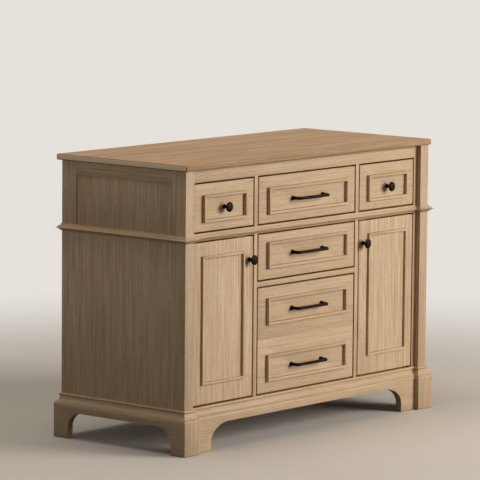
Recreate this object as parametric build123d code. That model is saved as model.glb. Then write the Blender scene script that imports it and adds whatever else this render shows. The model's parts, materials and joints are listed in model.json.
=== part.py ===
from build123d import *
import math
import os

os.makedirs("parts", exist_ok=True)

# All sizes are in millimetres. X runs to the right, Y to the back and Z up.
# The origin is on the floor, under the centre of the unit's outline.

# Overall sizes
overall_height = 889.0
overall_depth = 546.0
body_width = 1207.0

# Top board
top_thickness = 19.0
top_side_overhang = 6.5
top_front_overhang = 8.0
top_back_overhang = 20.0
top_edge_radius = 5.0

# Plinth with its bracket feet
plinth_height = 112.0
plinth_projection = 17.0
plinth_top_radius = 8.0
apron_thickness = 22.0
arch_height = 84.0
arch_rise = 56.0
front_arch_run = 85.0
side_arch_run = 52.0
front_foot_width = 143.5
side_foot_width = 58.0
cleat_size = 20.0
foot_post_size = 20.0
foot_clearance = 2.0
glide_height = 6.0
glide_radius = 9.0

# Mouldings that run round the body
base_moulding_height = 28.0
base_cove_projection = 13.5
base_cove_height = 17.5
base_quirk_projection = 4.0
bead_radius = 4.5
bead_root = 1.5
waist_moulding_projection = 16.0
waist_nose_height = 10.5
waist_shoulder_height = 17.0
waist_shoulder_projection = 8.0
waist_quirk_projection = 6.0
waist_lip_projection = 2.0
waist_under_flatness = 1.6
waist_over_flatness = 0.9
waist_hollow_flatness = 1.0

# Corner posts and face frame
post_width = 40.0
post_projection = 17.0
frame_thickness = 20.0
stile_width = 14.0
mullion_width = 16.0
top_rail_height = 40.0
waist_rail_height = 24.0
middle_rail_height = 16.0
centre_opening_width = 488.0
upper_opening_height = 156.0
middle_opening_height = 152.0

# Carcase boards
side_thickness = 18.0
side_frame_front_stile = 19.0
side_frame_back_stile = 60.0
side_frame_bottom_rail = 12.0
side_field_recess = 3.5
floor_thickness = 16.0
divider_thickness = 16.0
back_thickness = 9.0
top_tie_thickness = 20.0
top_tie_width = 90.0
shelf_thickness = 16.0
shelf_height = 395.0
shelf_setback = 24.0
shelf_clearance = 1.0
pipe_cutout_width = 170.0
pipe_cutout_height = 180.0
pipe_cutout_bottom = 430.0
pin_radius = 2.5
pin_depth = 8.0
pin_tab_length = 10.0
pin_tab_width = 9.0
pin_tab_thickness = 3.0
pin_inset = 50.0

# Fronts
front_gap = 5.0
front_thickness = 20.0
front_corner_radius = 2.5
front_edge_ease = 1.2
deep_front_joint_height = 168.5

# Applied mouldings on the fronts
ring_width = 9.5
drawer_ring_projection = 10.5
door_ring_projection = 7.5
ring_draft = 0.6
ring_edge = 1.5
narrow_ring_side_margin = 37.5
wide_ring_side_margin = 41.5
drawer_ring_height = 85.0
upper_ring_bottom_margin = 26.5
middle_ring_bottom_margin = 32.0
deep_lower_ring_bottom_margin = 34.5
deep_upper_ring_top_margin = 34.0
door_ring_hinge_margin = 35.0
door_ring_knob_margin = 44.0
door_ring_top_margin = 42.0
door_ring_bottom_margin = 59.5

# Drawer boxes and their three-part ball-bearing runners
box_side_thickness = 12.0
box_bottom_thickness = 6.0
box_bottom_rise = 10.0
box_floor_clearance = 16.0
box_top_clearance = 30.0
box_back_clearance = 13.0
runner_thickness = 12.7
runner_half_height = 22.5
runner_steel = 1.2
runner_clearance = 0.4
runner_outer_flange = 9.6
runner_rise = 48.0
runner_front_setback = 2.0
packer_height = 60.0

# Door pivots and catches
pivot_edge_distance = 9.5
pivot_front_distance = 8.0
pivot_radius = 3.0
pivot_clearance = 0.08
pivot_rail_depth = 12.0
pivot_door_depth = 10.0
pivot_collar_radius = 5.0
pivot_collar_gap = 0.3
catch_width = 40.0
catch_depth = 28.0
catch_height = 32.0
catch_inset = 20.0
catch_gap = 0.3

# Knobs and pulls
knob_edge_distance = 18.5
knob_top_distance = 72.0
knob_projection = 28.0
knob_head_radius = 15.2
knob_rim_thickness = 3.5
knob_dome_height = 4.5
knob_flare_height = 4.0
knob_neck_radius = 5.2
knob_foot_radius = 7.5
knob_foot_thickness = 2.0
pull_centres = 148.0
pull_projection = 33.0
pull_bar_radius = 5.0
pull_bend_radius = 9.0
pull_foot_radius = 7.6
pull_foot_length = 12.0
screw_radius = 2.0
screw_clearance = 0.1
screw_head_radius = 4.0
screw_head_height = 2.2
screw_engagement = 8.0

# Places worked out from the sizes above
half_body = body_width / 2
plinth_half_width = half_body + plinth_projection
plinth_front = -overall_depth / 2
body_front = plinth_front + plinth_projection
body_back = overall_depth / 2 - top_back_overhang
frame_front = body_front + post_projection
frame_back = frame_front + frame_thickness
top_underside = overall_height - top_thickness
post_inner = half_body - post_width
outer_opening_edge = post_inner - stile_width
centre_opening_edge = centre_opening_width / 2
inner_opening_edge = centre_opening_edge + mullion_width
side_inner = half_body - side_thickness
floor_level = plinth_height + base_moulding_height
upper_opening_top = top_underside - top_rail_height
upper_opening_bottom = upper_opening_top - upper_opening_height
waist_bottom = upper_opening_bottom - waist_rail_height
middle_opening_bottom = waist_bottom - middle_opening_height
deep_opening_top = middle_opening_bottom - middle_rail_height
back_inner = body_back - back_thickness
front_face = frame_front
front_back = front_face + front_thickness
box_length = back_inner - front_back - box_back_clearance
runner_length = box_length - runner_front_setback

# The clear openings of the face frame, as (left, right, bottom, top)
openings = {
    "upper_left": (-outer_opening_edge, -inner_opening_edge, upper_opening_bottom, upper_opening_top),
    "upper_centre": (-centre_opening_edge, centre_opening_edge, upper_opening_bottom, upper_opening_top),
    "upper_right": (inner_opening_edge, outer_opening_edge, upper_opening_bottom, upper_opening_top),
    "middle": (-centre_opening_edge, centre_opening_edge, middle_opening_bottom, waist_bottom),
    "deep": (-centre_opening_edge, centre_opening_edge, floor_level, deep_opening_top),
    "door_left": (-outer_opening_edge, -inner_opening_edge, floor_level, waist_bottom),
    "door_right": (inner_opening_edge, outer_opening_edge, floor_level, waist_bottom),
}


def board(x, y, z):
    """A straight board between two x, two y and two z values, in any order."""
    low = (min(x), min(y), min(z))
    size = (abs(x[1] - x[0]), abs(y[1] - y[0]), abs(z[1] - z[0]))
    return Pos(*low) * Box(*size, align=(Align.MIN, Align.MIN, Align.MIN))


def save(name, solids):
    """Write one sub-part, made of one or more separate solids."""
    flat = [solid for shape in solids for solid in shape.solids()]
    export_step(Compound(children=flat), f"parts/{name}.step")


def rod(x, y, z_low, z_high, radius):
    """An upright cylinder."""
    return Pos(x, y, z_low) * Cylinder(radius, z_high - z_low, align=(Align.CENTER, Align.CENTER, Align.MIN))


def cross_rod(x, z, y_low, y_high, radius):
    """A cylinder lying along Y."""
    shape = Cylinder(radius, y_high - y_low, align=(Align.CENTER, Align.CENTER, Align.MIN))
    return Pos(x, y_low, z) * Rot(-90, 0, 0) * shape


def mitred_moulding(outline, profile):
    """Lay a moulding outside a closed outline of points, one mitred length for each side.

    The outline runs clockwise seen from above, so that the outside is on the left. The profile has the
    distance from the outline as its X and the height as its Y. The wedge that cuts the mitres reaches twice
    as far as the profile stands out, so that its outer face cuts nothing.
    """
    size = profile.bounding_box().max
    reach = 2 * size.X
    lengths = []
    count = len(outline)
    directions = []
    for i in range(count):
        step = Vector(*outline[(i + 1) % count]) - Vector(*outline[i])
        directions.append(step.normalized())
    for i in range(count):
        start = Vector(*outline[i])
        end = Vector(*outline[(i + 1) % count])
        along = directions[i]
        outward = Vector(-along.Y, along.X)
        turn_start = directions[i - 1].cross(along).Z
        turn_end = along.cross(directions[(i + 1) % count]).Z
        outer_start = start + outward * reach + along * (math.copysign(reach, turn_start))
        outer_end = end + outward * reach - along * (math.copysign(reach, turn_end))
        plan = make_face(Polyline(start, end, outer_end, outer_start, close=True))
        wedge = extrude(plan, amount=size.Y, dir=(0, 0, 1))
        section = Plane(origin=start - along * reach, x_dir=outward, z_dir=along) * profile
        bar = extrude(section, amount=(end - start).length + 2 * reach, dir=along)
        lengths.append(bar & wedge)
    return lengths


def base_profile():
    """A cove that rises to a small quirk, under a round bead."""
    bead_low = base_moulding_height - 2 * bead_radius
    toe = (base_cove_projection, 0)
    cove_top = (base_quirk_projection, base_cove_height)
    quirk = (base_quirk_projection, bead_low)
    cove_radius = math.dist(toe, cove_top)
    return make_face([
        Polyline((bead_root, base_moulding_height), (0, base_moulding_height), (0, 0), toe),
        RadiusArc(toe, cove_top, cove_radius),
        Polyline(cove_top, quirk, (bead_root, bead_low)),
        ThreePointArc((bead_root, bead_low), (bead_root + bead_radius, bead_low + bead_radius),
                      (bead_root, base_moulding_height)),
    ])


def waist_profile():
    """A rounded nose under a small step and a hollow, which is the moulding at the waist."""
    nose = (waist_moulding_projection, waist_nose_height)
    shoulder = (waist_shoulder_projection, waist_shoulder_height)
    hollow = (waist_quirk_projection, waist_shoulder_height)
    lip = (waist_lip_projection, waist_rail_height)
    foot = (waist_lip_projection, 0)
    return make_face([
        Polyline(lip, (0, waist_rail_height), (0, 0), foot),
        RadiusArc(foot, nose, waist_under_flatness * math.dist(foot, nose)),
        RadiusArc(nose, shoulder, waist_over_flatness * math.dist(nose, shoulder)),
        Line(shoulder, hollow),
        RadiusArc(hollow, lip, waist_hollow_flatness * math.dist(hollow, lip)),
    ])


def body_outline():
    """The plan of the body above the plinth, clockwise from the right post's inner corner."""
    return [
        (post_inner, frame_front), (-post_inner, frame_front),
        (-post_inner, body_front), (-half_body, body_front),
        (-half_body, body_back), (half_body, body_back),
        (half_body, body_front), (post_inner, body_front),
    ]


def make_top():
    x = half_body + top_side_overhang
    y = (body_front - top_front_overhang, body_back + top_back_overhang)
    slab = board((-x, x), y, (top_underside, overall_height))
    return [fillet(slab.edges(), top_edge_radius)]


def arched_apron(length, foot_start, foot_end, run, turned):
    """A plinth board along X, with two feet just clear of the floor and a quarter ellipse inside each."""
    left = foot_start
    right = length - foot_end
    spring = arch_height - arch_rise
    outline = [
        Polyline((left + run, arch_height), (right - run, arch_height)),
        EllipticalCenterArc((right - run, spring), run, arch_rise, start_angle=0, arc_size=90),
        Polyline((right, spring), (right, foot_clearance), (length, foot_clearance), (length, plinth_height),
                 (0, plinth_height), (0, foot_clearance), (left, foot_clearance), (left, spring)),
        EllipticalCenterArc((left + run, spring), run, arch_rise, start_angle=90, arc_size=90),
    ]
    flat = extrude(make_face(outline), amount=apron_thickness)
    upright = Rot(90, 0, 0) * flat
    front_top = upright.edges().group_by(Axis.Y)[0].group_by(Axis.Z)[-1]
    upright = fillet(front_top, plinth_top_radius)
    return Rot(0, 0, turned) * upright


def make_aprons():
    """The front and side plinth boards, each with its outer face set out by the plinth's projection."""
    inner = plinth_half_width - apron_thickness
    front_length = 2 * inner
    front_inset = front_foot_width - apron_thickness
    front_place = frame_front - plinth_projection
    front = arched_apron(front_length, front_inset, front_inset, front_arch_run, 0)
    side_start = body_front
    side_length = body_back + plinth_projection - side_start
    front_foot = side_foot_width - plinth_projection
    left = arched_apron(side_length, side_foot_width, front_foot, side_arch_run, -90)
    right = arched_apron(side_length, front_foot, side_foot_width, side_arch_run, 90)
    return {
        "apron_front": Pos(-inner, front_place + apron_thickness, 0) * front,
        "apron_left": Pos(-plinth_half_width + apron_thickness, side_start + side_length, 0) * left,
        "apron_right": Pos(plinth_half_width - apron_thickness, side_start, 0) * right,
    }


def make_back_rail():
    """The plain plinth board at the back, level with the tops of the arches."""
    x = plinth_half_width - apron_thickness
    back = body_back + plinth_projection
    return [board((-x, x), (back - apron_thickness, back), (arch_height, plinth_height))]


def make_foot_blocks():
    """The two thick blocks under the corner posts, rounded along their outer top edges."""
    blocks = []
    for side in (-1, 1):
        x = (side * (post_inner - plinth_projection), side * plinth_half_width)
        block = board(x, (plinth_front, body_front), (foot_clearance, plinth_height))
        top_edges = block.faces().sort_by(Axis.Z)[-1].edges().sort_by(Axis.Y)
        blocks.append(fillet(top_edges[:-1], plinth_top_radius))
    return blocks


def make_blocking():
    """The battens inside the plinth that carry the carcase, and the four corner blocks over the glides."""
    top = plinth_height
    bottom = plinth_height - cleat_size
    side_face = plinth_half_width - apron_thickness
    front_inside = frame_front - plinth_projection + apron_thickness
    back_inside = body_back + plinth_projection - apron_thickness
    pieces = []
    for side in (-1, 1):
        x = (side * (side_face - cleat_size), side * side_face)
        pieces.append(board(x, (front_inside + cleat_size, back_inside - cleat_size), (bottom, top)))
    long = (-side_face, side_face)
    pieces.append(board(long, (front_inside, front_inside + cleat_size), (bottom, top)))
    pieces.append(board(long, (back_inside - cleat_size, back_inside), (bottom, top)))
    for x, y in corner_places():
        pieces.append(board((x - foot_post_size / 2, x + foot_post_size / 2),
                            (y - foot_post_size / 2, y + foot_post_size / 2), (glide_height, bottom)))
    return pieces


def corner_places():
    """The centres of the corner blocks, tucked into the plinth's inner corners."""
    x = plinth_half_width - apron_thickness - foot_post_size / 2
    front = frame_front - plinth_projection + apron_thickness + foot_post_size / 2
    back = body_back + plinth_projection - apron_thickness - foot_post_size / 2
    return [(-x, front), (x, front), (-x, back), (x, back)]


def make_glides():
    return [rod(x, y, 0, glide_height, glide_radius) for x, y in corner_places()]


def make_corner_post(side):
    x = (side * post_inner, side * half_body)
    return [board(x, (body_front, frame_back), (plinth_height, top_underside))]


def pivot_place(side):
    """The door's pivot axis, inside the door's edge and just behind its face."""
    return side * (outer_opening_edge - front_gap - pivot_edge_distance), front_face + pivot_front_distance


def make_face_frame():
    """Rails, stiles and mullions, glued edge to edge."""
    y = (frame_front, frame_back)
    across = (-outer_opening_edge, outer_opening_edge)
    bottom_rail = board(across, y, (plinth_height, floor_level))
    waist_rail = board(across, y, (waist_bottom, upper_opening_bottom))
    for side in (-1, 1):
        x, pivot_y = pivot_place(side)
        bottom_rail -= rod(x, pivot_y, floor_level - pivot_rail_depth, floor_level, pivot_radius)
        waist_rail -= rod(x, pivot_y, waist_bottom, waist_bottom + pivot_rail_depth, pivot_radius)
    pieces = [bottom_rail, waist_rail, board(across, y, (upper_opening_top, top_underside))]
    middle = (-centre_opening_edge, centre_opening_edge)
    pieces.append(board(middle, y, (deep_opening_top, middle_opening_bottom)))
    for side in (-1, 1):
        stile = (side * outer_opening_edge, side * post_inner)
        mullion = (side * centre_opening_edge, side * inner_opening_edge)
        pieces.append(board(stile, y, (plinth_height, top_underside)))
        pieces.append(board(mullion, y, (floor_level, waist_bottom)))
        pieces.append(board(mullion, y, (upper_opening_bottom, upper_opening_top)))
    return pieces


def side_joint_level():
    """Where the plain lower side meets the framed upper side, behind the waist moulding."""
    return upper_opening_bottom - side_frame_bottom_rail


def pin_places():
    """Each shelf pin as its side of the unit, the wall it is in, the way it points, and its y."""
    places = []
    for side in (-1, 1):
        for wall, inward in ((side * inner_opening_edge, side), (side * side_inner, -side)):
            for y in (frame_back + shelf_setback + pin_inset, back_inner - shelf_clearance - pin_inset):
                places.append((side, wall, inward, y))
    return places


def pin_centre():
    """The height of the pins' axes, so that the shelves rest on their tabs."""
    return shelf_height - pin_tab_thickness / 2


def pin_hole(wall, inward, y):
    hole = Rot(0, 90, 0) * Cylinder(pin_radius, pin_depth, align=(Align.CENTER, Align.CENTER, Align.CENTER))
    return Pos(wall - inward * pin_depth / 2, y, pin_centre()) * hole


def make_side_panel(side):
    """The plain lower side, drilled for its shelf pins."""
    x = (side * side_inner, side * half_body)
    panel = board(x, (frame_back, body_back), (plinth_height, side_joint_level()))
    for place_side, wall, inward, y in pin_places():
        if place_side == side and inward == -side:
            panel -= pin_hole(wall, inward, y)
    return [panel]


def make_side_frame(side):
    """The framed upper side: two stiles, two rails and a field set back from them."""
    x = (side * side_inner, side * half_body)
    front = frame_back + side_frame_front_stile
    back = body_back - side_frame_back_stile
    low = side_joint_level()
    field = (side * side_inner, side * (half_body - side_field_recess))
    return [
        board(x, (frame_back, front), (low, top_underside)),
        board(x, (back, body_back), (low, top_underside)),
        board(x, (front, back), (upper_opening_top, top_underside)),
        board(x, (front, back), (low, upper_opening_bottom)),
        board(field, (front, back), (upper_opening_bottom, upper_opening_top)),
    ]


def make_partition(side):
    """The upright between the drawers and a cupboard, in two lengths above and below the divider."""
    x = (side * centre_opening_edge, side * inner_opening_edge)
    y = (frame_back, back_inner)
    lower = board(x, y, (floor_level, upper_opening_bottom - divider_thickness))
    for place_side, wall, inward, pin_y in pin_places():
        if place_side == side and inward == side:
            lower -= pin_hole(wall, inward, pin_y)
    return [lower, board(x, y, (upper_opening_bottom, top_underside - top_tie_thickness))]


def make_back():
    """The back panel, with a pipe cut-out behind each cupboard."""
    panel = board((-side_inner, side_inner), (back_inner, body_back), (plinth_height, top_underside))
    cupboard_middle = (inner_opening_edge + side_inner) / 2
    for side in (-1, 1):
        x = side * cupboard_middle
        panel -= board((x - pipe_cutout_width / 2, x + pipe_cutout_width / 2), (back_inner, body_back),
                       (pipe_cutout_bottom, pipe_cutout_bottom + pipe_cutout_height))
    return [panel]


def make_floor():
    z = (floor_level - floor_thickness, floor_level)
    return [board((-side_inner, side_inner), (frame_back, back_inner), z)]


def make_divider():
    z = (upper_opening_bottom - divider_thickness, upper_opening_bottom)
    return [board((-side_inner, side_inner), (frame_back, back_inner), z)]


def make_top_ties():
    z = (top_underside - top_tie_thickness, top_underside)
    x = (-side_inner, side_inner)
    return [
        board(x, (frame_back, frame_back + top_tie_width), z),
        board(x, (back_inner - top_tie_width, back_inner), z),
    ]


def make_shelf(side):
    x = (side * (inner_opening_edge + shelf_clearance), side * (side_inner - shelf_clearance))
    y = (frame_back + shelf_setback, back_inner - shelf_clearance)
    return [board(x, y, (shelf_height, shelf_height + shelf_thickness))]


def make_shelf_pins():
    """Steel pins with a flat tab, two in each wall of each cupboard."""
    pins = []
    for side, wall, inward, y in pin_places():
        tab = board((wall, wall + inward * pin_tab_length), (y - pin_tab_width / 2, y + pin_tab_width / 2),
                    (shelf_height - pin_tab_thickness, shelf_height))
        pins.append(tab + pin_hole(wall, inward, y))
    return pins


def front_size(opening):
    """A front's left, right, bottom and top, inside its opening by the gap."""
    left, right, bottom, top = opening
    return left + front_gap, right - front_gap, bottom + front_gap, top - front_gap


def eased_front(x, z):
    """A front board with its four corners and its front edges eased."""
    piece = board(x, (front_face, front_back), z)
    piece = fillet(piece.edges().filter_by(Axis.Y), front_corner_radius)
    face = piece.faces().sort_by(Axis.Y)[0]
    return chamfer(face.edges(), front_edge_ease)


def ring(x, z, projection):
    """A mitred frame of moulding stood on the front's face, given by its outer edges."""
    w = ring_width
    shoulder = projection - ring_edge
    profile = make_face([
        Polyline((ring_draft, shoulder), (0, 0), (w, 0), (w - ring_draft, shoulder)),
        RadiusArc((w - ring_draft, shoulder), (w - ring_draft - ring_edge, projection), -ring_edge),
        Line((w - ring_draft - ring_edge, projection), (ring_draft + ring_edge, projection)),
        RadiusArc((ring_draft + ring_edge, projection), (ring_draft, shoulder), -ring_edge),
    ])
    left, right = x[0] + w, x[1] - w
    low, high = z[0] + w, z[1] - w
    outline = [(left, low), (left, high), (right, high), (right, low)]
    lengths = mitred_moulding(outline, profile)
    return [Pos(0, front_face, 0) * Rot(90, 0, 0) * piece for piece in lengths]


def drawer_ring(name, ring_low):
    left, right = front_size(openings[name])[:2]
    margin = narrow_ring_side_margin if name in ("upper_left", "upper_right") else wide_ring_side_margin
    x = (left + margin, right - margin)
    return ring(x, (ring_low, ring_low + drawer_ring_height), drawer_ring_projection)


def ring_lows(name):
    """The heights of the lower edges of a drawer's applied mouldings."""
    bottom, top = front_size(openings[name])[2:]
    if name == "deep":
        return [bottom + deep_lower_ring_bottom_margin, top - deep_upper_ring_top_margin - drawer_ring_height]
    if name == "middle":
        return [bottom + middle_ring_bottom_margin]
    return [bottom + upper_ring_bottom_margin]


def handle_places(name):
    """The centres of a drawer's handles, in the middle of its applied mouldings."""
    left, right = openings[name][:2]
    return [((left + right) / 2, low + drawer_ring_height / 2) for low in ring_lows(name)]


def screw_places(name):
    """The screws that hold a drawer's handles."""
    if name in ("upper_left", "upper_right"):
        return handle_places(name)
    return [(x + side * pull_centres / 2, z) for x, z in handle_places(name) for side in (-1, 1)]


def make_drawer_front(name):
    left, right, bottom, top = front_size(openings[name])
    whole = eased_front((left, right), (bottom, top))
    for x, z in screw_places(name):
        whole -= cross_rod(x, z, front_face, front_back, screw_radius + screw_clearance)
    boards = [whole]
    if name == "deep":
        joint = bottom + deep_front_joint_height
        span = (front_face, front_back)
        boards = [whole & board((left, right), span, part) for part in ((bottom, joint), (joint, top))]
    rings = [piece for low in ring_lows(name) for piece in drawer_ring(name, low)]
    return boards + rings


def box_size(name):
    """A drawer box's left, right, bottom and top."""
    left, right, bottom, top = openings[name]
    low = bottom + box_floor_clearance
    high = top - box_top_clearance
    return left + runner_thickness, right - runner_thickness, low, high


def make_drawer_box(name):
    """Four sides and a bottom panel, with room for the handle screws' heads in the front board."""
    left, right, low, high = box_size(name)
    t = box_side_thickness
    front = (front_back, front_back + t)
    back = (front_back + box_length - t, front_back + box_length)
    inside = (left + t, right - t)
    panel_low = low + box_bottom_rise
    front_board = board(inside, front, (low, high))
    for x, z in screw_places(name):
        front_board -= cross_rod(x, z, front[0], front[1], screw_radius + screw_clearance)
    return [
        board((left, left + t), (front[0], back[1]), (low, high)),
        board((right - t, right), (front[0], back[1]), (low, high)),
        front_board,
        board(inside, back, (low, high)),
        board(inside, (front[1], back[0]), (panel_low, panel_low + box_bottom_thickness)),
    ]


def channel(wall, inward, web, flange, z, half):
    """A C-shaped steel length: its web and flanges are given as distances from the wall."""
    y = (front_back + runner_front_setback, front_back + runner_front_setback + runner_length)
    t = runner_steel
    web_x, flange_x = [(wall + inward * start, wall + inward * end) for start, end in (web, flange)]
    shape = board(web_x, y, (z - half, z + half))
    shape += board(flange_x, y, (z + half - t, z + half))
    shape += board(flange_x, y, (z - half, z - half + t))
    return shape


def runner_walls(name):
    """The two walls that carry a drawer's runners, each with the way it faces, and the runners' height."""
    left, right = openings[name][:2]
    return [(left, 1), (right, -1)], box_size(name)[2] + runner_rise


def outer_runners(name):
    walls, z = runner_walls(name)
    return [channel(wall, inward, (0, runner_steel), (0, runner_outer_flange), z, runner_half_height)
            for wall, inward in walls]


def intermediate_runners(name):
    walls, z = runner_walls(name)
    start = runner_steel + runner_clearance
    end = runner_thickness - runner_steel - runner_clearance
    half = runner_half_height - start
    web = (start, start + runner_steel)
    return [channel(wall, inward, web, (start, end), z, half) for wall, inward in walls]


def inner_runners(name):
    walls, z = runner_walls(name)
    start = 2 * (runner_steel + runner_clearance)
    web = (runner_thickness - runner_steel, runner_thickness)
    half = runner_half_height - start
    return [channel(wall, inward, web, (start, runner_thickness), z, half) for wall, inward in walls]


def make_packers():
    """Blocks that bring the outer runners in line with the edge of the face frame's opening."""
    pieces = []
    for name, side in (("upper_left", -1), ("upper_right", 1)):
        z = runner_walls(name)[1]
        pieces.append(board((side * outer_opening_edge, side * side_inner), (frame_back, back_inner),
                            (z - packer_height / 2, z + packer_height / 2)))
    return pieces


def screw(x, z, y_head, y_tip):
    """A machine screw along Y, with its head towards the inside of the unit."""
    return cross_rod(x, z, y_tip, y_head, screw_radius) + cross_rod(
        x, z, y_head, y_head + screw_head_height, screw_head_radius)


def knob(x, z):
    """A turned knob with a small foot, a neck and a domed head, drilled for its screw."""
    foot = (knob_foot_radius, knob_foot_thickness)
    neck = (knob_neck_radius, knob_foot_thickness + knob_foot_radius - knob_neck_radius)
    crown = knob_projection - knob_dome_height
    rim_low = (knob_head_radius, crown - knob_rim_thickness)
    throat = (knob_neck_radius, rim_low[1] - knob_flare_height)
    dome_radius = (knob_head_radius**2 + knob_dome_height**2) / (2 * knob_dome_height)
    half = make_face([
        Polyline((0, knob_projection), (0, screw_engagement), (screw_radius, screw_engagement),
                 (screw_radius, 0), (knob_foot_radius, 0), foot),
        RadiusArc(foot, neck, knob_foot_radius - knob_neck_radius),
        Line(neck, throat),
        RadiusArc(throat, rim_low, math.dist(throat, rim_low)),
        RadiusArc(rim_low, (knob_head_radius, crown), -knob_rim_thickness),
        RadiusArc((knob_head_radius, crown), (0, knob_projection), -dome_radius),
    ])
    return Pos(x, front_face, z) * Rot(180, 0, 0) * revolve(half, Axis.Y)


def pull(x, z):
    """A round bar bent back at both ends to two flared feet, drilled for its screws."""
    reach = pull_projection - pull_bar_radius
    half = pull_centres / 2
    corners = [(-half, 0, 0), (-half, -reach, 0), (half, -reach, 0), (half, 0, 0)]
    path = FilletPolyline(*corners, radius=pull_bend_radius)
    section = Plane(origin=corners[0], z_dir=(0, -1, 0)) * Circle(pull_bar_radius)
    shape = Pos(x, front_face, z) * sweep(section, path=path)
    seated = (Align.CENTER, Align.CENTER, Align.MIN)
    foot = Cone(pull_foot_radius, pull_bar_radius, pull_foot_length, align=seated)
    for side in (-1, 1):
        shape += Pos(x + side * half, front_face, z) * Rot(90, 0, 0) * foot
        shape -= cross_rod(x + side * half, z, front_face - screw_engagement, front_face, screw_radius)
    return shape


def make_drawer_handle(name):
    """The knob or pulls of a drawer, with the screws that hold them through the front."""
    make = knob if name in ("upper_left", "upper_right") else pull
    handles = [make(x, z) for x, z in handle_places(name)]
    head = front_back + box_side_thickness
    screws = [screw(x, z, head, front_face - screw_engagement) for x, z in screw_places(name)]
    return handles + screws


def door_size(side):
    return front_size(openings["door_left" if side < 0 else "door_right"])


def knob_place(side):
    """A door's knob, near the top of the stile at the middle of the unit."""
    left, right, bottom, top = door_size(side)
    x = right - knob_edge_distance if side < 0 else left + knob_edge_distance
    return x, top - knob_top_distance


def make_door(side):
    """A slab with a mitred moulding on its face, bored at its top and bottom edges for the pivot pins."""
    left, right, bottom, top = door_size(side)
    slab = eased_front((left, right), (bottom, top))
    x, y = pivot_place(side)
    depth = pivot_door_depth + pivot_collar_gap
    slab -= rod(x, y, bottom, bottom + depth, pivot_radius + pivot_clearance)
    slab -= rod(x, y, top - depth, top, pivot_radius + pivot_clearance)
    knob_x, knob_z = knob_place(side)
    slab -= cross_rod(knob_x, knob_z, front_face, front_back, screw_radius + screw_clearance)
    margins = (door_ring_hinge_margin, door_ring_knob_margin)
    left_margin, right_margin = margins if side < 0 else reversed(margins)
    ring_x = (left + left_margin, right - right_margin)
    ring_z = (bottom + door_ring_bottom_margin, top - door_ring_top_margin)
    return [slab] + ring(ring_x, ring_z, door_ring_projection)


def make_door_knob(side):
    x, z = knob_place(side)
    return [knob(x, z), screw(x, z, front_back, front_face - screw_engagement)]


def make_pivots():
    """Steel pins in the rails, each with a collar, that the doors turn on."""
    pins = []
    for side in (-1, 1):
        x, y = pivot_place(side)
        bottom, top = door_size(side)[2:]
        lower = rod(x, y, floor_level - pivot_rail_depth, bottom + pivot_door_depth, pivot_radius)
        lower += rod(x, y, floor_level, bottom - pivot_collar_gap, pivot_collar_radius)
        upper = rod(x, y, top - pivot_door_depth, waist_bottom + pivot_rail_depth, pivot_radius)
        upper += rod(x, y, top + pivot_collar_gap, waist_bottom, pivot_collar_radius)
        pins += [lower, upper]
    return pins


def make_catches():
    """Magnetic catches under the divider, just behind the doors' free corners."""
    top = upper_opening_bottom - divider_thickness
    start = front_back + catch_gap
    pieces = []
    for side in (-1, 1):
        x = side * (inner_opening_edge + catch_inset)
        span = (x, x + side * catch_width)
        pieces.append(board(span, (start, start + catch_depth), (top - catch_height, top)))
    return pieces


drawers = ("upper_left", "upper_centre", "upper_right", "middle", "deep")
sides = {"left": -1, "right": 1}

save("top_slab", make_top())
save("face_frame", make_face_frame())
save("waist_moulding", [Pos(0, 0, waist_bottom) * piece
                        for piece in mitred_moulding(body_outline(), waist_profile())])
save("base_moulding", [Pos(0, 0, plinth_height) * piece
                       for piece in mitred_moulding(body_outline(), base_profile())])
save("foot_blocks", make_foot_blocks())
for apron_name, apron in make_aprons().items():
    save(apron_name, [apron])
save("plinth_rail_back", make_back_rail())
save("plinth_blocking", make_blocking())
save("levelling_glides", make_glides())
save("floor_panel", make_floor())
save("divider_panel", make_divider())
save("back_panel", make_back())
save("top_ties", make_top_ties())
save("shelf_pins", make_shelf_pins())
save("runner_packers", make_packers())
save("door_pivot_pins", make_pivots())
save("door_catches", make_catches())
save("cabinet_runners", [piece for name in drawers for piece in outer_runners(name)])

for side_name, side in sides.items():
    save(f"corner_post_{side_name}", make_corner_post(side))
    save(f"side_panel_{side_name}", make_side_panel(side))
    save(f"side_frame_{side_name}", make_side_frame(side))
    save(f"partition_{side_name}", make_partition(side))
    save(f"shelf_{side_name}", make_shelf(side))
    save(f"door_{side_name}", make_door(side))
    save(f"door_knob_{side_name}", make_door_knob(side))

for name in drawers:
    save(f"drawer_front_{name}", make_drawer_front(name))
    save(f"drawer_box_{name}", make_drawer_box(name))
    save(f"drawer_handle_{name}", make_drawer_handle(name))
    save(f"drawer_runner_{name}", inner_runners(name))
    save(f"intermediate_runner_{name}", intermediate_runners(name))
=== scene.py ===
import json
import math
import random

import bmesh
import bpy
from mathutils import Matrix, Vector

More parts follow.
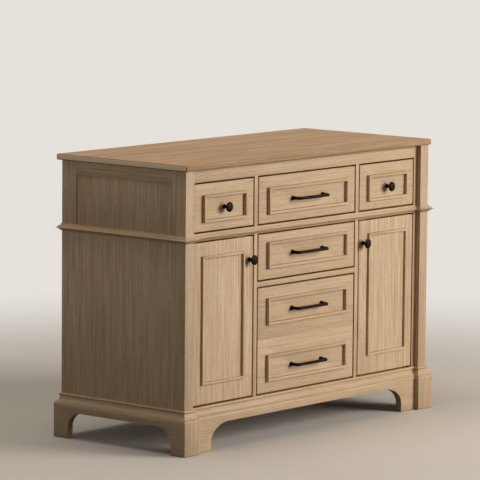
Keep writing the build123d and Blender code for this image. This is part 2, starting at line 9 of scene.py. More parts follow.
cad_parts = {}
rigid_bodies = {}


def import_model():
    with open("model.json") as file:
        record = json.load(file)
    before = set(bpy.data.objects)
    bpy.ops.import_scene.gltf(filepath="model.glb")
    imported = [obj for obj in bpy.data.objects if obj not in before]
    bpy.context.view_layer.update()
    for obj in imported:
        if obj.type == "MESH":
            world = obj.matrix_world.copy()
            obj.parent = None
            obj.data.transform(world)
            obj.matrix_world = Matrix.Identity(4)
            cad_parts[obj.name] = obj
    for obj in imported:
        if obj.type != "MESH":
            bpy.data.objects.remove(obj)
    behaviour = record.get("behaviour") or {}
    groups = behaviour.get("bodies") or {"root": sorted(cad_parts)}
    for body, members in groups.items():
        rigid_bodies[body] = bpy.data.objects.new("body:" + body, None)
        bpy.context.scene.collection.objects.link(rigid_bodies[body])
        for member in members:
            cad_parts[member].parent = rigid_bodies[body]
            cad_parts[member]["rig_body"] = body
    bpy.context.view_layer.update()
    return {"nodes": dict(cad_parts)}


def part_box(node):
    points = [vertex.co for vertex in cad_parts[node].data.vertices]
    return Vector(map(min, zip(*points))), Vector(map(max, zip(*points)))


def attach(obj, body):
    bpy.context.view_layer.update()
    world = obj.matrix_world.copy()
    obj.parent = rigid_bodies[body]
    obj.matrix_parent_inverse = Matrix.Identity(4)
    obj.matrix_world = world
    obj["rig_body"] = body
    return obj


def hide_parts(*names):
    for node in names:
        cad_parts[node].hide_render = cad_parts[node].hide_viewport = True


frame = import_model()

MM = 0.001

# The photograph's camera, from a fit to the object's edges. Places are in metres.
PHOTO_SIZE = 480
FOCAL_PIXELS = 3603.5
SENSOR = 36.0
CAMERA_REACH = 200.0
CAMERA_PLACE = Vector((-8.7560, -7.3321, 2.0106))
CAMERA_AZIMUTH = math.radians(-49.915)
CAMERA_ELEVATION = math.radians(7.104)
CAMERA_ROLL = math.radians(0.507)

# The floor and its surround as they are seen, and the darker tones in which they light the object
SURROUND_COLOUR = "e6e1da"
SURROUND_GLOW = "6f6d6b"
FLOOR_COLOUR = "d5cfc6"
FLOOR_GLOW = "5c544b"
FLOOR_RADIUS = 90
FLOOR_SIDES = 96
# Distances in metres over which the floor turns into the surround
FLOOR_FADE = {"From Min": 0.9, "From Max": 3.2}

# Eased edges
OUTER_EASE = 0.6 * MM
JOINT_EASE = 0.3 * MM
INNER_EASE = 0.4 * MM
POLE_EASE = 0.2 * MM
PLATE_EASE = 0.05 * MM
EASE_STEPS = 2

# Angles between faces: within the first they are one flat face, and within the second they shade smoothly.
# An edge past the third is sharp and gets eased.
FLAT_ANGLE = math.radians(0.2)
SMOOTH_ANGLE = math.radians(28)
SHARP_ANGLE = math.radians(35)
# A face lies square to an axis when its normal points that way by more than this, from 0 to 1
SQUARE = 0.9
# It looks sideways, up or down when its normal points to the front by less than this
ASIDE = 0.5
# Points that are nearer than this are one
MICRON = 1e-6

# The way the grain runs in the broad boards of a node. A board that is short that way follows its length.
BROAD = 100 * MM
GRAIN = {
    "side_panel_left": "Z", "side_panel_right": "Z", "side_frame_left": "Z", "side_frame_right": "Z",
    "partition_left": "Z", "partition_right": "Z", "door_left": "Z", "door_right": "Z",
    "shelf_left": "X", "shelf_right": "X",
    "back_panel": "X", "floor_panel": "X", "divider_panel": "X", "top_slab": "X",
}
# Each board begins at its own place in the figure, up to this far along it and across it, in metres
FIGURE_REACH = 50
# A tone under 0 draws a board darker than the ones whose tones are drawn at random from 0 to 1. These are
# painted shade: on the posts' flanks, in the recess beside the right post, and on the side aprons and the
# feet near the floor
PAINTED_SHADE_TONE = {
    "foot_blocks": -2.0, "corner_post_left": -1.5, "corner_post_right": -3.0,
    "apron_left": -3.0, "apron_right": -3.0,
}
TONE_RANGE = {"To Min": 0.985, "To Max": 1.015}
# Boards with a strong figure, and the share of it that the other boards show
FIGURED = ("door_left", "door_right", "side_panel_", "side_frame_", "top_slab")
FAINT_FIGURE = 0.5
# Nodes with edges that face each other across the narrow gaps of the front; their faces in the gaps get
# painted shade
GAP_SHADE_NODES = ("face_frame", "drawer_front_", "door_left", "door_right")
WOODEN = ("oak", "oak_top", "inner_wood")

# The slow wander of the grain in millimetres: its length, its width and how far it swings
WANDER_LENGTH = 420
WANDER_WIDTH = 90
WANDER_SWING = 14
# Streaks in wood: length and width in millimetres, fineness, and the levels between which they show.
# Growth lines are 1 to 3 mm apart and pores up to 0.3 mm wide. Both are drawn coarser, so that they
# show from ten metres.
OAK_BANDS = (900, 34, 2.0, 0.32, 0.68)
OAK_LINES = (260, 5.0, 4.0, 0.38, 0.64)
OAK_FINE_LINES = (120, 3.0, 2.0, 0.42, 0.62)
OAK_PORES = (16, 0.7, 1.0, 0.60, 0.70)
BIRCH_FIGURE = (320, 26, 3.0, 0.35, 0.65)
BIRCH_FLECKS = (9, 1.1, 1.0, 0.58, 0.70)
VENEER = 1.4 * MM
PORE_DEPTH = 0.15 * MM
# A coat's colour changes over patches that are this many times as wide as its grit
PATCH = 40
ROUGHNESS_SPREAD = 0.06

# Pan-head screws: the head's radius and height, the recess as a share of them, and the steps round the head
CASE_SCREW = (3.8 * MM, 1.6 * MM)
RUNNER_SCREW = (3.6 * MM, 1.3 * MM)
RECESS_WIDTH = 0.28
RECESS_DEPTH = 0.7
HEAD_STEPS = 20
# How far the screws stand from the edges and ends of what they hold
BACK_EDGE = 12 * MM
BACK_END = 110 * MM
RUNNER_END = 35 * MM
BATTEN_END = 90 * MM
BATTEN = 20 * MM
# How deep the web of a runner's channel lies behind its open side
RUNNER_WEB_DEPTH = 8.3 * MM

# The steel poles in the catches and the strike plates on the doors
POLE_INSET = 5 * MM
POLE_LENGTH = 30 * MM
POLE_THICKNESS = 2.5 * MM
POLE_DEPTH = 8 * MM
POLE_PROUD = 0.1 * MM
LOWER_POLE = 3.5 * MM
UPPER_POLE = 6 * MM
PLATE_MARGIN = 2 * MM
PLATE_FOOT = 1 * MM
PLATE_SUNK = 0.1 * MM
PLATE_PROUD = 0.15 * MM

# Numbers of the sockets of a Mix node: its two numbers, its two colours and the mixed colour
NUMBER_A, NUMBER_B = 2, 3
COLOUR_A, COLOUR_B = 6, 7
MIXED_COLOUR = 2


def linear(code):
    """The linear colour of an sRGB hex code such as c8ab80."""
    channels = [int(code[i:i + 2], 16) / 255 for i in (0, 2, 4)]
    return tuple(c / 12.92 if c <= 0.04045 else ((c + 0.055) / 1.055) ** 2.4 for c in channels) + (1.0,)


def put(tree, kind, sockets=None, **settings):
    """Adds a node. Each socket, by name or number, takes a value or a link from another node's output."""
    made = tree.nodes.new(kind)
    for name, value in settings.items():
        setattr(made, name, value)
    for name, value in (sockets or {}).items():
        if isinstance(value, bpy.types.NodeSocket):
            tree.links.new(value, made.inputs[name])
        else:
            made.inputs[name].default_value = value
    return made


def new_material(name):
    """An empty material, its tree and its surface shader."""
    material = bpy.data.materials.new(name)
    material.use_nodes = True
    tree = material.node_tree
    return material, tree, tree.nodes["Principled BSDF"]


def set_surface(tree, shader, links, values):
    """Links the shader's sockets to what drives them, and sets the others to even values."""
    for name, source in links.items():
        tree.links.new(source, shader.inputs[name])
    for name, value in values.items():
        shader.inputs[name].default_value = value


def layered(tree, base, layers):
    """Lays colours over a base in their order, each by its own share and way of blending."""
    for share, colour, blend in layers:
        over = put(tree, "ShaderNodeMix", {"Factor": share, COLOUR_A: base, COLOUR_B: colour},
                   data_type="RGBA", blend_type=blend)
        base = over.outputs[MIXED_COLOUR]
    return base


def wood_coordinates(tree):
    """The grain attribute in millimetres: along the board, across it and through it, with a slow wander."""
    grain = put(tree, "ShaderNodeAttribute", attribute_name="grain")
    length = put(tree, "ShaderNodeVectorMath", {0: grain.outputs["Vector"], "Scale": 1 / MM},
                 operation="SCALE")
    slow = put(tree, "ShaderNodeVectorMath",
               {0: length.outputs[0], 1: (1 / WANDER_LENGTH, 1 / WANDER_WIDTH, 1 / WANDER_WIDTH)},
               operation="MULTIPLY")
    wander = put(tree, "ShaderNodeTexNoise", {"Vector": slow.outputs[0], "Scale": 1.0, "Detail": 1.0})
    middle = put(tree, "ShaderNodeVectorMath", {0: wander.outputs["Color"], 1: (0.5, 0.5, 0.5)},
                 operation="SUBTRACT")
    swing = put(tree, "ShaderNodeVectorMath", {0: middle.outputs[0], 1: (0.0, WANDER_SWING, WANDER_SWING)},
                operation="MULTIPLY")
    place = put(tree, "ShaderNodeVectorMath", {0: length.outputs[0], 1: swing.outputs[0]}, operation="ADD")
    return place.outputs[0]


def streaks(tree, place, kind, share=None):
    """Streaks of one kind, from 0 to 1. Where a board shows a share of them, they keep near the middle."""
    along, across, detail, low, high = kind
    size = put(tree, "ShaderNodeVectorMath", {0: place, 1: (1 / along, 1 / across, 1 / across)},
               operation="MULTIPLY")
    noise = put(tree, "ShaderNodeTexNoise",
                {"Vector": size.outputs[0], "Scale": 1.0, "Detail": detail, "Roughness": 0.55})
    level = put(tree, "ShaderNodeMapRange",
                {"Value": noise.outputs["Fac"], "From Min": low, "From Max": high}).outputs["Result"]
    if share is None:
        return level
    return put(tree, "ShaderNodeMix", {"Factor": share, NUMBER_A: 0.5, NUMBER_B: level},
               data_type="FLOAT").outputs[0]


def oak(name, light, dark, line, pore, edge, cut_layers):
    """Rift-cut oak under a matt lacquer: straight fine lines, short dark pores and slow changes of tone.

    The cut layers tone or colour the cut sides of the boards. The faces in the gaps of the front are
    darkened to a warm brown, as painted shade.
    """
    material, tree, shader = new_material(name)
    place = wood_coordinates(tree)
    marks = {mark: put(tree, "ShaderNodeAttribute", attribute_name=mark).outputs["Fac"]
             for mark in ("tone", "figure", "edge", "gap", *(layer[0] for layer in cut_layers))}
    band = streaks(tree, place, OAK_BANDS)
    lines = streaks(tree, place, OAK_LINES, marks["figure"])
    fine = streaks(tree, place, OAK_FINE_LINES, marks["figure"])
    pores = streaks(tree, place, OAK_PORES)
    grained = layered(tree, linear(light), [
        (band, linear(dark), "MIX"),
        (lines, linear(line), "MULTIPLY"),
        (fine, linear("eee6dc"), "MULTIPLY"),
        (pores, linear(pore), "MULTIPLY"),
    ])
    shade = put(tree, "ShaderNodeMapRange", {"Value": marks["tone"], **TONE_RANGE}, clamp=False)
    toned = put(tree, "ShaderNodeVectorMath", {0: grained, "Scale": shade.outputs[0]}, operation="SCALE")
    finished = layered(tree, toned.outputs[0], [
        *((marks[mark], linear(colour), blend) for mark, colour, blend in cut_layers),
        (marks["edge"], linear(edge), "MULTIPLY"),
        # Faces in the gaps of the front darkened to a warm brown: painted shade
        (marks["gap"], linear("f2e0c0"), "MULTIPLY"),
    ])
    rough = put(tree, "ShaderNodeMapRange", {"Value": lines, "To Min": 0.46, "To Max": 0.60})
    relief = put(tree, "ShaderNodeMath", {0: pores, 1: fine}, operation="ADD")
    bump = put(tree, "ShaderNodeBump",
               {"Height": relief.outputs[0], "Strength": 0.25, "Distance": PORE_DEPTH}, invert=True)
    set_surface(tree, shader,
                {"Base Color": finished, "Roughness": rough.outputs[0], "Normal": bump.outputs[0]},
                {"Specular IOR Level": 0.35})
    return material


def birch_plywood():
    """Lacquered birch plywood: pale faces with a faint figure, and dark and light veneers on the sides."""
    material, tree, shader = new_material("lacquered_birch_plywood")
    place = wood_coordinates(tree)
    figure = streaks(tree, place, BIRCH_FIGURE)
    flecks = streaks(tree, place, BIRCH_FLECKS)
    grain = put(tree, "ShaderNodeAttribute", attribute_name="grain")
    through = put(tree, "ShaderNodeSeparateXYZ", {0: grain.outputs["Vector"]})
    layer = put(tree, "ShaderNodeMath", {0: through.outputs["Z"], 1: math.pi / VENEER}, operation="MULTIPLY")
    wave = put(tree, "ShaderNodeMath", {0: layer.outputs[0]}, operation="SINE")
    dark = put(tree, "ShaderNodeMapRange", {"Value": wave.outputs[0], "From Min": -0.2, "From Max": 0.3})
    veneers = layered(tree, linear("b98f5e"), [(dark.outputs[0], linear("dfc79f"), "MIX")])
    cut = put(tree, "ShaderNodeAttribute", attribute_name="cut")
    colour = layered(tree, linear("dcc39a"), [
        (figure, linear("cdae80"), "MIX"),
        (flecks, linear("efe3cf"), "MULTIPLY"),
        (cut.outputs["Fac"], veneers, "MIX"),
    ])
    rough = put(tree, "ShaderNodeMapRange", {"Value": figure, "To Min": 0.42, "To Max": 0.55})
    set_surface(tree, shader, {"Base Color": colour, "Roughness": rough.outputs[0]}, {})
    return material


def coated(name, colour, second, roughness, grit, depth, metallic=0.0, gloss=0.5, glint="ffffff"):
    """A coat or skin with a fine even grit in millimetres, its colour varying between two near shades."""
    material, tree, shader = new_material(name)
    place = put(tree, "ShaderNodeTexCoord").outputs["Object"]
    grains, patches = [
        put(tree, "ShaderNodeTexNoise",
            {"Vector": place, "Scale": 1 / (width * MM), "Detail": 2.0}).outputs["Fac"]
        for width in (grit, PATCH * grit)]
    shades = layered(tree, linear(colour), [(patches, linear(second), "MIX")])
    rough = put(tree, "ShaderNodeMapRange", {
        "Value": patches, "From Min": 0.3, "From Max": 0.7,
        "To Min": roughness - ROUGHNESS_SPREAD, "To Max": roughness + ROUGHNESS_SPREAD})
    bump = put(tree, "ShaderNodeBump", {"Height": grains, "Strength": 0.4, "Distance": depth * MM})
    set_surface(tree, shader,
                {"Base Color": shades, "Roughness": rough.outputs[0], "Normal": bump.outputs[0]},
                {"Metallic": metallic, "Specular IOR Level": gloss, "Specular Tint": linear(glint)})
    return material


def closed_shells(mesh):
    """Splits a node's loose triangles into its solids: a solid ends where every edge has met its pair."""
    numbers = {}
    points = []
    ids = []
    for vertex in mesh.vertices:
        key = tuple(round(c / MICRON) for c in vertex.co)
        if key not in numbers:
            numbers[key] = len(points)
            points.append(vertex.co.copy())
        ids.append(numbers[key])
    shells = [[]]
    unpaired = set()
    for polygon in mesh.polygons:
        corners = [ids[i] for i in polygon.vertices]
        for a, b in zip(corners, corners[1:] + corners[:1]):
            if a != b:
                unpaired ^= {(min(a, b), max(a, b))}
        if len(set(corners)) == 3:
            shells[-1].append([points[i] for i in corners])
        if not unpaired:
            shells.append([])
    return [shell for shell in shells if shell]


def board_mesh(shell, ease):
    """One board as a bmesh, its triangles joined into flat faces, and the faces of its eased edges."""
    bm = bmesh.new()
    made = {}
    for face in shell:
        corners = [made.get(tuple(p)) or made.setdefault(tuple(p), bm.verts.new(p)) for p in face]
        bm.faces.new(corners)
    bmesh.ops.dissolve_limit(bm, angle_limit=FLAT_ANGLE, verts=bm.verts, edges=bm.edges)
    sharp = [e for e in bm.edges if len(e.link_faces) == 2 and e.calc_face_angle(0) > SHARP_ANGLE]
    eased = bmesh.ops.bevel(bm, geom=sharp, offset=ease, offset_type="OFFSET", segments=EASE_STEPS,
                            profile=0.5, affect="EDGES", clamp_overlap=True)
    return bm, set(eased["faces"])


def grain_axes(low, high, node_name):
    """The axes along, across and through a board."""
    size = high - low
    order = sorted(range(3), key=lambda i: -size[i])
    along = "XYZ".find(GRAIN.get(node_name, "-"))
    if along >= 0 and size[along] > BROAD:
        order.remove(along)
        order.insert(0, along)
    return order


def dress(node_name, material, ease, seed):
    """A piece of boards in place of a wooden node, with the attributes that its wood follows."""
    node = frame["nodes"][node_name]
    draw = random.Random(seed)
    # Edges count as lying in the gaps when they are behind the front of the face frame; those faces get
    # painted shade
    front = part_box("face_frame")[0][1] + MM if node_name.startswith(GAP_SHADE_NODES) else math.inf
    figure = 1.0 if node_name.startswith(FIGURED) else FAINT_FIGURE
    points, faces, grains = [], [], []
    on_points = {"tone": [], "figure": []}
    on_faces = {"edge": [], "cut": [], "end": [], "gap": []}
    for shell in closed_shells(node.data):
        bm, worn = board_mesh(shell, ease)
        low = Vector([min(v.co[i] for v in bm.verts) for i in range(3)])
        high = Vector([max(v.co[i] for v in bm.verts) for i in range(3)])
        along, across, through = grain_axes(low, high, node_name)
        shift = (draw.uniform(0, FIGURE_REACH), draw.uniform(0, FIGURE_REACH))
        # The listed boards take a tone under 0, which paints shade on them
        tone = PAINTED_SHADE_TONE.get(node_name, draw.random())
        middle = (low + high) / 2
        first = len(points)
        bm.verts.index_update()
        for v in bm.verts:
            away = v.co - middle
            points.append(v.co.copy())
            grains += (away[along] + shift[0], away[across] + shift[1], away[through])
            on_points["tone"].append(tone)
            on_points["figure"].append(figure)
        for face in bm.faces:
            in_gap = abs(face.normal.y) < ASIDE and face.calc_center_median().y > front
            faces.append([first + v.index for v in face.verts])
            on_faces["edge"].append(float(face in worn))
            on_faces["cut"].append(float(abs(face.normal[through]) <= SQUARE))
            on_faces["end"].append(float(abs(face.normal[along]) > SQUARE))
            on_faces["gap"].append(float(in_gap))
        bm.free()
    mesh = bpy.data.meshes.new(f"{node_name}_boards")
    mesh.from_pydata(points, [], faces)
    mesh.attributes.new("grain", "FLOAT_VECTOR", "POINT").data.foreach_set("vector", grains)
    for domain, kept in (("POINT", on_points), ("FACE", on_faces)):
        for name, values in kept.items():
            mesh.attributes.new(name, "FLOAT", domain).data.foreach_set("value", values)
    mesh.shade_smooth()
    mesh.set_sharp_from_angle(angle=SMOOTH_ANGLE)
    mesh.materials.append(material)
    piece = bpy.data.objects.new(f"{node_name}_boards", mesh)
    bpy.context.scene.collection.objects.link(piece)
    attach(piece, node["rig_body"])
    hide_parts(node_name)


def add_piece(name, mesh, body):
    """Puts a finished mesh in the scene on a body."""
    piece = bpy.data.objects.new(name, mesh)
    bpy.context.scene.collection.objects.link(piece)
    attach(piece, body)


def screw_nodes():
    """Pan-head screws with a cross recess, one on each point, turned the way of the point's attribute."""
    tree = bpy.data.node_groups.new("pan_head_screws", "GeometryNodeTree")
    tree.interface.new_socket("Geometry", in_out="INPUT", socket_type="NodeSocketGeometry")
    for name in ("Head Radius", "Head Height", "Recess Width", "Recess Depth"):
        tree.interface.new_socket(name, in_out="INPUT", socket_type="NodeSocketFloat")
    tree.interface.new_socket("Finish", in_out="INPUT", socket_type="NodeSocketMaterial")
    tree.interface.new_socket("Geometry", in_out="OUTPUT", socket_type="NodeSocketGeometry")
    given = put(tree, "NodeGroupInput").outputs
    size = put(tree, "ShaderNodeCombineXYZ",
               {0: given["Head Radius"], 1: given["Head Radius"], 2: given["Head Height"]})
    ball = put(tree, "GeometryNodeMeshUVSphere",
               {"Segments": HEAD_STEPS, "Rings": HEAD_STEPS // 2, "Radius": 1.0})
    solid = put(tree, "GeometryNodeTransform", {"Geometry": ball.outputs["Mesh"], "Scale": size.outputs[0]})
    depth = put(tree, "ShaderNodeMath", {0: given["Recess Depth"], 1: 2.0}, operation="MULTIPLY")
    top = put(tree, "ShaderNodeCombineXYZ", {2: given["Head Height"]})
    for first, second in (("Head Radius", "Recess Width"), ("Recess Width", "Head Radius")):
        bar = put(tree, "ShaderNodeCombineXYZ", {0: given[first], 1: given[second], 2: depth.outputs[0]})
        block = put(tree, "GeometryNodeMeshCube", {"Size": bar.outputs[0]})
        cutter = put(tree, "GeometryNodeTransform",
                     {"Geometry": block.outputs["Mesh"], "Translation": top.outputs[0]})
        solid = put(tree, "GeometryNodeMeshBoolean",
                    {"Mesh 1": solid.outputs[0], "Mesh 2": cutter.outputs[0]},
                    operation="DIFFERENCE", solver="EXACT")
    facing = put(tree, "GeometryNodeInputNamedAttribute", {"Name": "facing"}, data_type="FLOAT_VECTOR")
    turned = put(tree, "FunctionNodeAlignRotationToVector", {"Vector": facing.outputs["Attribute"]},
                 axis="Z")
    placed = put(tree, "GeometryNodeInstanceOnPoints", {
        "Points": given["Geometry"], "Instance": solid.outputs[0], "Rotation": turned.outputs[0]})
    real = put(tree, "GeometryNodeRealizeInstances", {"Geometry": placed.outputs[0]})
    finished = put(tree, "GeometryNodeSetMaterial",
                   {"Geometry": real.outputs[0], "Material": given["Finish"]})
    put(tree, "NodeGroupOutput", {"Geometry": finished.outputs[0]})
    return tree


def make_screws(tree, name, body, places, head, material):
    """Screws on a body, at places that each hold a point and the way that the head faces."""
    points = bpy.data.meshes.new(f"{name}_places")
    points.from_pydata([point for point, facing in places], [], [])
    ways = points.attributes.new("facing", "FLOAT_VECTOR", "POINT")
    ways.data.foreach_set("vector", [c for point, facing in places for c in facing])
    carrier = bpy.data.objects.new(f"{name}_carrier", points)
    bpy.context.scene.collection.objects.link(carrier)
    modifier = carrier.modifiers.new("screws", "NODES")
    modifier.node_group = tree
    radius, height = head
    sizes = {"Head Radius": radius, "Head Height": height, "Recess Width": radius * RECESS_WIDTH,
             "Recess Depth": height * RECESS_DEPTH, "Finish": material}
    for socket in tree.interface.items_tree:
        if socket.in_out == "INPUT" and socket.name in sizes:
            modifier[socket.identifier] = sizes[socket.name]
    evaluated = carrier.evaluated_get(bpy.context.evaluated_depsgraph_get())
    mesh = bpy.data.meshes.new_from_object(evaluated)
    carrier.modifiers.remove(modifier)
    bpy.data.objects.remove(carrier)
    mesh.name = name
    mesh.shade_smooth()
    mesh.set_sharp_from_angle(angle=SHARP_ANGLE)
    add_piece(name, mesh, body)


def spread(start, end, count):
    """Evenly spaced values from start to end."""
    return [start + (end - start) * i / (count - 1) for i in range(count)]


def back_panel_screws():
    """Places of the screws round the back panel and along its partitions."""
    low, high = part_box("back_panel")
    left, right = low[0] + BACK_EDGE, high[0] - BACK_EDGE
    places = []
    for z in (low[2] + BACK_EDGE, high[2] - BACK_EDGE):
        places += [(x, z) for x in spread(left, right, 9)]
    partitions = [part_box(f"partition_{side}") for side in ("left", "right")]
    for x in (left, right, *((near[0] + far[0]) / 2 for near, far in partitions)):
        places += [(x, z) for z in spread(low[2] + BACK_END, high[2] - BACK_END, 5)]
    return [((x, high[1], z), (0, 1, 0)) for x, z in places]


def runner_screws(name):
    """Places of the screws in the drawer's own runner members, in the open side of each channel."""
    low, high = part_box(f"drawer_runner_{name}")
    middle = (low[2] + high[2]) / 2
    places = []
    for x, way in ((low[0] + RUNNER_WEB_DEPTH, -1), (high[0] - RUNNER_WEB_DEPTH, 1)):
        places += [((x, y, middle), (way, 0, 0))
                   for y in spread(low[1] + RUNNER_END, high[1] - RUNNER_END, 4)]
    return places


def blocking_screws():
    """Places of the screws under the battens inside the plinth."""
    low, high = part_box("plinth_blocking")
    places = []
    for y in (low[1] + BATTEN / 2, high[1] - BATTEN / 2):
        places += [(x, y) for x in spread(low[0] + BATTEN_END, high[0] - BATTEN_END, 6)]
    for x in (low[0] + BATTEN / 2, high[0] - BATTEN / 2):
        places += [(x, y) for y in spread(low[1] + BATTEN_END, high[1] - BATTEN_END, 3)]
    return [((x, y, high[2] - BATTEN), (0, 0, -1)) for x, y in places]


def eased_blocks(name, blocks, ease, material):
    """A mesh of flat metal pieces, each given by its lowest and highest corners, with eased edges."""
    bm = bmesh.new()
    for low, high in blocks:
        middle = (Vector(low) + Vector(high)) / 2
        size = Vector(high) - Vector(low)
        place = Matrix.Translation(middle) @ Matrix.Diagonal((*size, 1.0))
        made = bmesh.ops.create_cube(bm, size=1.0, matrix=place)
        edges = {e for v in made["verts"] for e in v.link_edges}
        bmesh.ops.bevel(bm, geom=list(edges), offset=ease, segments=EASE_STEPS, affect="EDGES",
                        clamp_overlap=True)
    mesh = bpy.data.meshes.new(name)
    bm.to_mesh(mesh)
    bm.free()
    mesh.materials.append(material)
    return mesh


def make_catch_metal(material):
    """Two steel poles in the face of each magnetic catch, and the strike plate on each door."""
    catch_low, catch_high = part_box("door_catches")
    poles = []
    for side, sign in (("left", -1), ("right", 1)):
        door_low, door_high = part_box(f"door_{side}")
        outer = sign * (catch_high[0] - POLE_INSET)
        left, right = sorted((outer, outer - sign * POLE_LENGTH))
        for z in (catch_low[2] + LOWER_POLE, door_high[2] - UPPER_POLE):
            poles.append(((left, catch_low[1] - POLE_PROUD, z),
                          (right, catch_low[1] + POLE_DEPTH, z + POLE_THICKNESS)))
        plate = ((left - PLATE_MARGIN, door_high[1] - PLATE_SUNK, catch_low[2] + PLATE_FOOT),
                 (right + PLATE_MARGIN, door_high[1] + PLATE_PROUD, door_high[2] - PLATE_MARGIN))
        add_piece(f"strike_plate_{side}",
                  eased_blocks(f"strike_plate_{side}", [plate], PLATE_EASE, material),
                  f"door_{side}")
    add_piece("catch_poles", eased_blocks("catch_poles", poles, POLE_EASE, material), "root")


def make_camera():
    """The photograph's camera, turned from its azimuth, elevation and roll."""
    data = bpy.data.cameras.new("photo_camera")
    data.sensor_width = SENSOR
    data.lens = FOCAL_PIXELS * SENSOR / PHOTO_SIZE
    data.clip_end = CAMERA_REACH
    camera = bpy.data.objects.new("photo_camera", data)
    bpy.context.scene.collection.objects.link(camera)
    bpy.context.scene.camera = camera
    right = Vector((math.cos(CAMERA_AZIMUTH), math.sin(CAMERA_AZIMUTH), 0))
    forward = Vector((-math.sin(CAMERA_AZIMUTH) * math.cos(CAMERA_ELEVATION),
                      math.cos(CAMERA_AZIMUTH) * math.cos(CAMERA_ELEVATION), -math.sin(CAMERA_ELEVATION)))
    up = right.cross(forward)
    rolled_right = right * math.cos(CAMERA_ROLL) + up * math.sin(CAMERA_ROLL)
    rolled_up = up * math.cos(CAMERA_ROLL) - right * math.sin(CAMERA_ROLL)
    turn = Matrix((rolled_right, rolled_up, -forward)).transposed().to_4x4()
    camera.matrix_world = Matrix.Translation(CAMERA_PLACE) @ turn


def make_lamp(name, place, target, size, power, colour):
    """A square soft box that faces its target."""
    data = bpy.data.lights.new(name, "AREA")
    data.shape = "SQUARE"
    data.size = size
    data.energy = power
    data.color = linear(colour)[:3]
    lamp = bpy.data.objects.new(name, data)
    bpy.context.scene.collection.objects.link(lamp)
    lamp.location = place
    lamp.rotation_mode = "QUATERNION"
    lamp.rotation_quaternion = (Vector(target) - Vector(place)).to_track_quat("-Z", "Y")


def seen_directly(tree):
    """1 for rays from the camera or by way of gloss or glass, 0 for the light that surfaces receive."""
    rays = put(tree, "ShaderNodeLightPath").outputs
    seen = rays["Is Camera Ray"]
    for ray in ("Is Glossy Ray", "Is Transmission Ray"):
        seen = put(tree, "ShaderNodeMath", {0: seen, 1: rays[ray]}, operation="MAXIMUM").outputs[0]
    return seen


def make_surround():
    """An even pale surround that lights the object with a darker tone."""
    world = bpy.data.worlds.new("studio")
    bpy.context.scene.world = world
    world.use_nodes = True
    tree = world.node_tree
    shown = layered(tree, linear(SURROUND_GLOW), [(seen_directly(tree), linear(SURROUND_COLOUR), "MIX")])
    tree.links.new(shown, tree.nodes["Background"].inputs["Color"])


def studio_floor():
    """Matt paper: a pale floor that holds the object's shadow and turns into the even surround."""
    material, tree, shader = new_material("studio_floor")
    seen = seen_directly(tree)
    shown = layered(tree, linear(FLOOR_GLOW), [(seen, linear(FLOOR_COLOUR), "MIX")])
    set_surface(tree, shader, {"Base Color": shown}, {"Roughness": 0.9, "Specular IOR Level": 0.1})
    place = put(tree, "ShaderNodeTexCoord")
    distance = put(tree, "ShaderNodeVectorMath", {0: place.outputs["Object"]}, operation="LENGTH")
    far = put(tree, "ShaderNodeMapRange", {"Value": distance.outputs["Value"], **FLOOR_FADE},
              interpolation_type="SMOOTHSTEP")
    share = put(tree, "ShaderNodeMath", {0: far.outputs["Result"], 1: seen}, operation="MULTIPLY")
    even = put(tree, "ShaderNodeEmission", {"Color": linear(SURROUND_COLOUR)})
    both = put(tree, "ShaderNodeMixShader", {0: share.outputs[0], 1: shader.outputs[0], 2: even.outputs[0]})
    tree.links.new(both.outputs[0], tree.nodes["Material Output"].inputs["Surface"])
    return material


def make_floor():
    """A wide disc under the object."""
    bm = bmesh.new()
    bmesh.ops.create_circle(bm, cap_ends=True, segments=FLOOR_SIDES, radius=FLOOR_RADIUS)
    mesh = bpy.data.meshes.new("studio_floor")
    bm.to_mesh(mesh)
    bm.free()
    mesh.materials.append(studio_floor())
    floor = bpy.data.objects.new("studio_floor", mesh)
    bpy.context.scene.collection.objects.link(floor)


make_camera()
make_surround()
make_floor()
# Name, place, target, width in metres, power in watts and colour
make_lamp("key_box", (2.5, -4.9, 2.0), (0, 0, 0.45), 3.0, 328, "fff8f2")
make_lamp("top_box", (-0.6, 0.4, 4.4), (-0.2, 0, 0.5), 2.2, 55, "fff6ea")
make_lamp("side_box", (-4.6, 0.3, 1.5), (-0.6, 0.0, 0.5), 2.4, 12, "faf2ee")

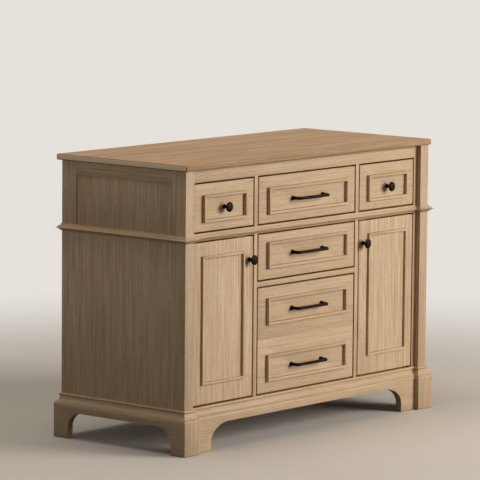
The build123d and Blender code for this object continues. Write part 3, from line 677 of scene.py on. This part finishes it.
materials = {
    # The pale lacquered oak of the body, whose cut sides have the colour of its faces
    "oak": oak("lacquered_rift_oak", light="d0bb9d", dark="cbb496", line="e4dacd", pore="d2c1ad",
               edge="fff9f1", cut_layers=[]),
    # The top is darker, with cooler sides and light ends
    "oak_top": oak("lacquered_oak_top", light="c5a072", dark="ae8b61", line="e5d8c4", pore="c6ad92",
                   edge="fff8ee", cut_layers=[("cut", "e2eaf2", "MULTIPLY"), ("end", "fae2c0", "MIX")]),
    "inner_wood": birch_plywood(),
    # The brown in the black and the warm glint are those of oil-rubbed bronze
    "black_metal": coated("oil_rubbed_bronze", "170c05", "1e1007", roughness=0.45, grit=0.5, depth=0.03,
                          gloss=0.08, glint="f0d0a8"),
    # A bright, slightly blue plating with a faint mottle
    "zinc_steel": coated("zinc_plated_steel", "b9bcbf", "a8abb0", roughness=0.32, grit=0.8, depth=0.01,
                         metallic=1.0),
    # A soft even shine
    "steel": coated("satin_steel", "a9a9a8", "b5b5b4", roughness=0.30, grit=0.5, depth=0.01, metallic=1.0),
    # A dull black with a moulded grain
    "glide_plastic": coated("moulded_black_polyethylene", "1c1c1c", "242424", roughness=0.55, grit=0.7,
                            depth=0.05),
    # A warm white with a low gloss
    "catch_plastic": coated("moulded_white_abs", "dedbd4", "e6e3dc", roughness=0.40, grit=0.6, depth=0.03),
}
screws = screw_nodes()
steel = materials["steel"]
make_screws(screws, "back_panel_screws", "root", back_panel_screws(), CASE_SCREW, steel)
make_screws(screws, "blocking_screws", "root", blocking_screws(), CASE_SCREW, steel)
for name in ("upper_left", "upper_centre", "upper_right", "middle", "deep"):
    make_screws(screws, f"runner_screws_{name}", f"drawer_{name}", runner_screws(name), RUNNER_SCREW, steel)
make_catch_metal(steel)

for number, (node_name, node) in enumerate(sorted(frame["nodes"].items())):
    slot = node.data.materials[0].name
    if slot in WOODEN:
        ease = OUTER_EASE
        if slot == "inner_wood":
            ease = INNER_EASE
        elif node_name == "face_frame":
            ease = JOINT_EASE
        dress(node_name, materials[slot], ease, number)
    else:
        for holder in node.material_slots:
            holder.material = materials[slot]

bpy.context.scene.view_settings.view_transform = "Standard"
